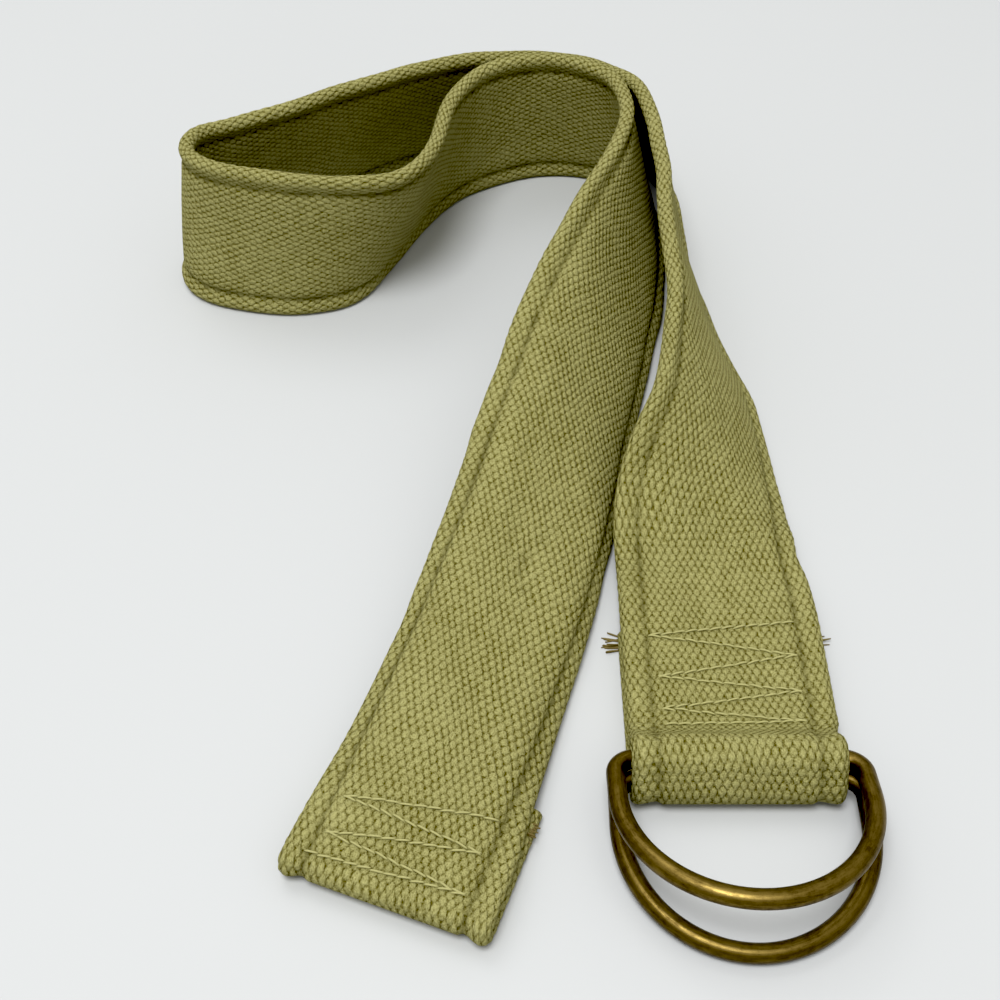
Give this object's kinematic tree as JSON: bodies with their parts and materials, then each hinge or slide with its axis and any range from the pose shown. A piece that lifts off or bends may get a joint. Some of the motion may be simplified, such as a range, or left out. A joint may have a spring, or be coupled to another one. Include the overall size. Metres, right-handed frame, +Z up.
{
  "type": "double ring belt",
  "caption": "Khaki cotton webbing belt with antique brass D rings at one end, lying in loose loops.",
  "frame": {"origin": "on the resting surface, below the middle of the whole belt", "axes": "+Z up from the surface, +Y from the ring end towards the back of the loops, +X to the ring end's side"},
  "size_m": [0.1438, 0.2402, 0.038],
  "materials": {
    "cotton_webbing": "matt weave",
    "antique_brass": "aged, half polished"
  },
  "bodies": {
    "webbing": {"webbing": "cotton_webbing"},
    "upper_ring": {"upper_ring": "antique_brass"},
    "lower_ring": {"lower_ring": "antique_brass"}
  },
  "joints": [
    {"name": "upper_ring_swing", "type": "hinge", "parent": "webbing", "child": "upper_ring", "pos_m": [0.04827, -0.08561, 0.00747], "axis": [-1, 0, 0], "range_deg": [0, 150]},
    {"name": "lower_ring_swing", "type": "hinge", "parent": "webbing", "child": "lower_ring", "pos_m": [0.04872, -0.08768, 0.0044], "axis": [1, 0, 0], "range_deg": [0, 150]}
  ]
}
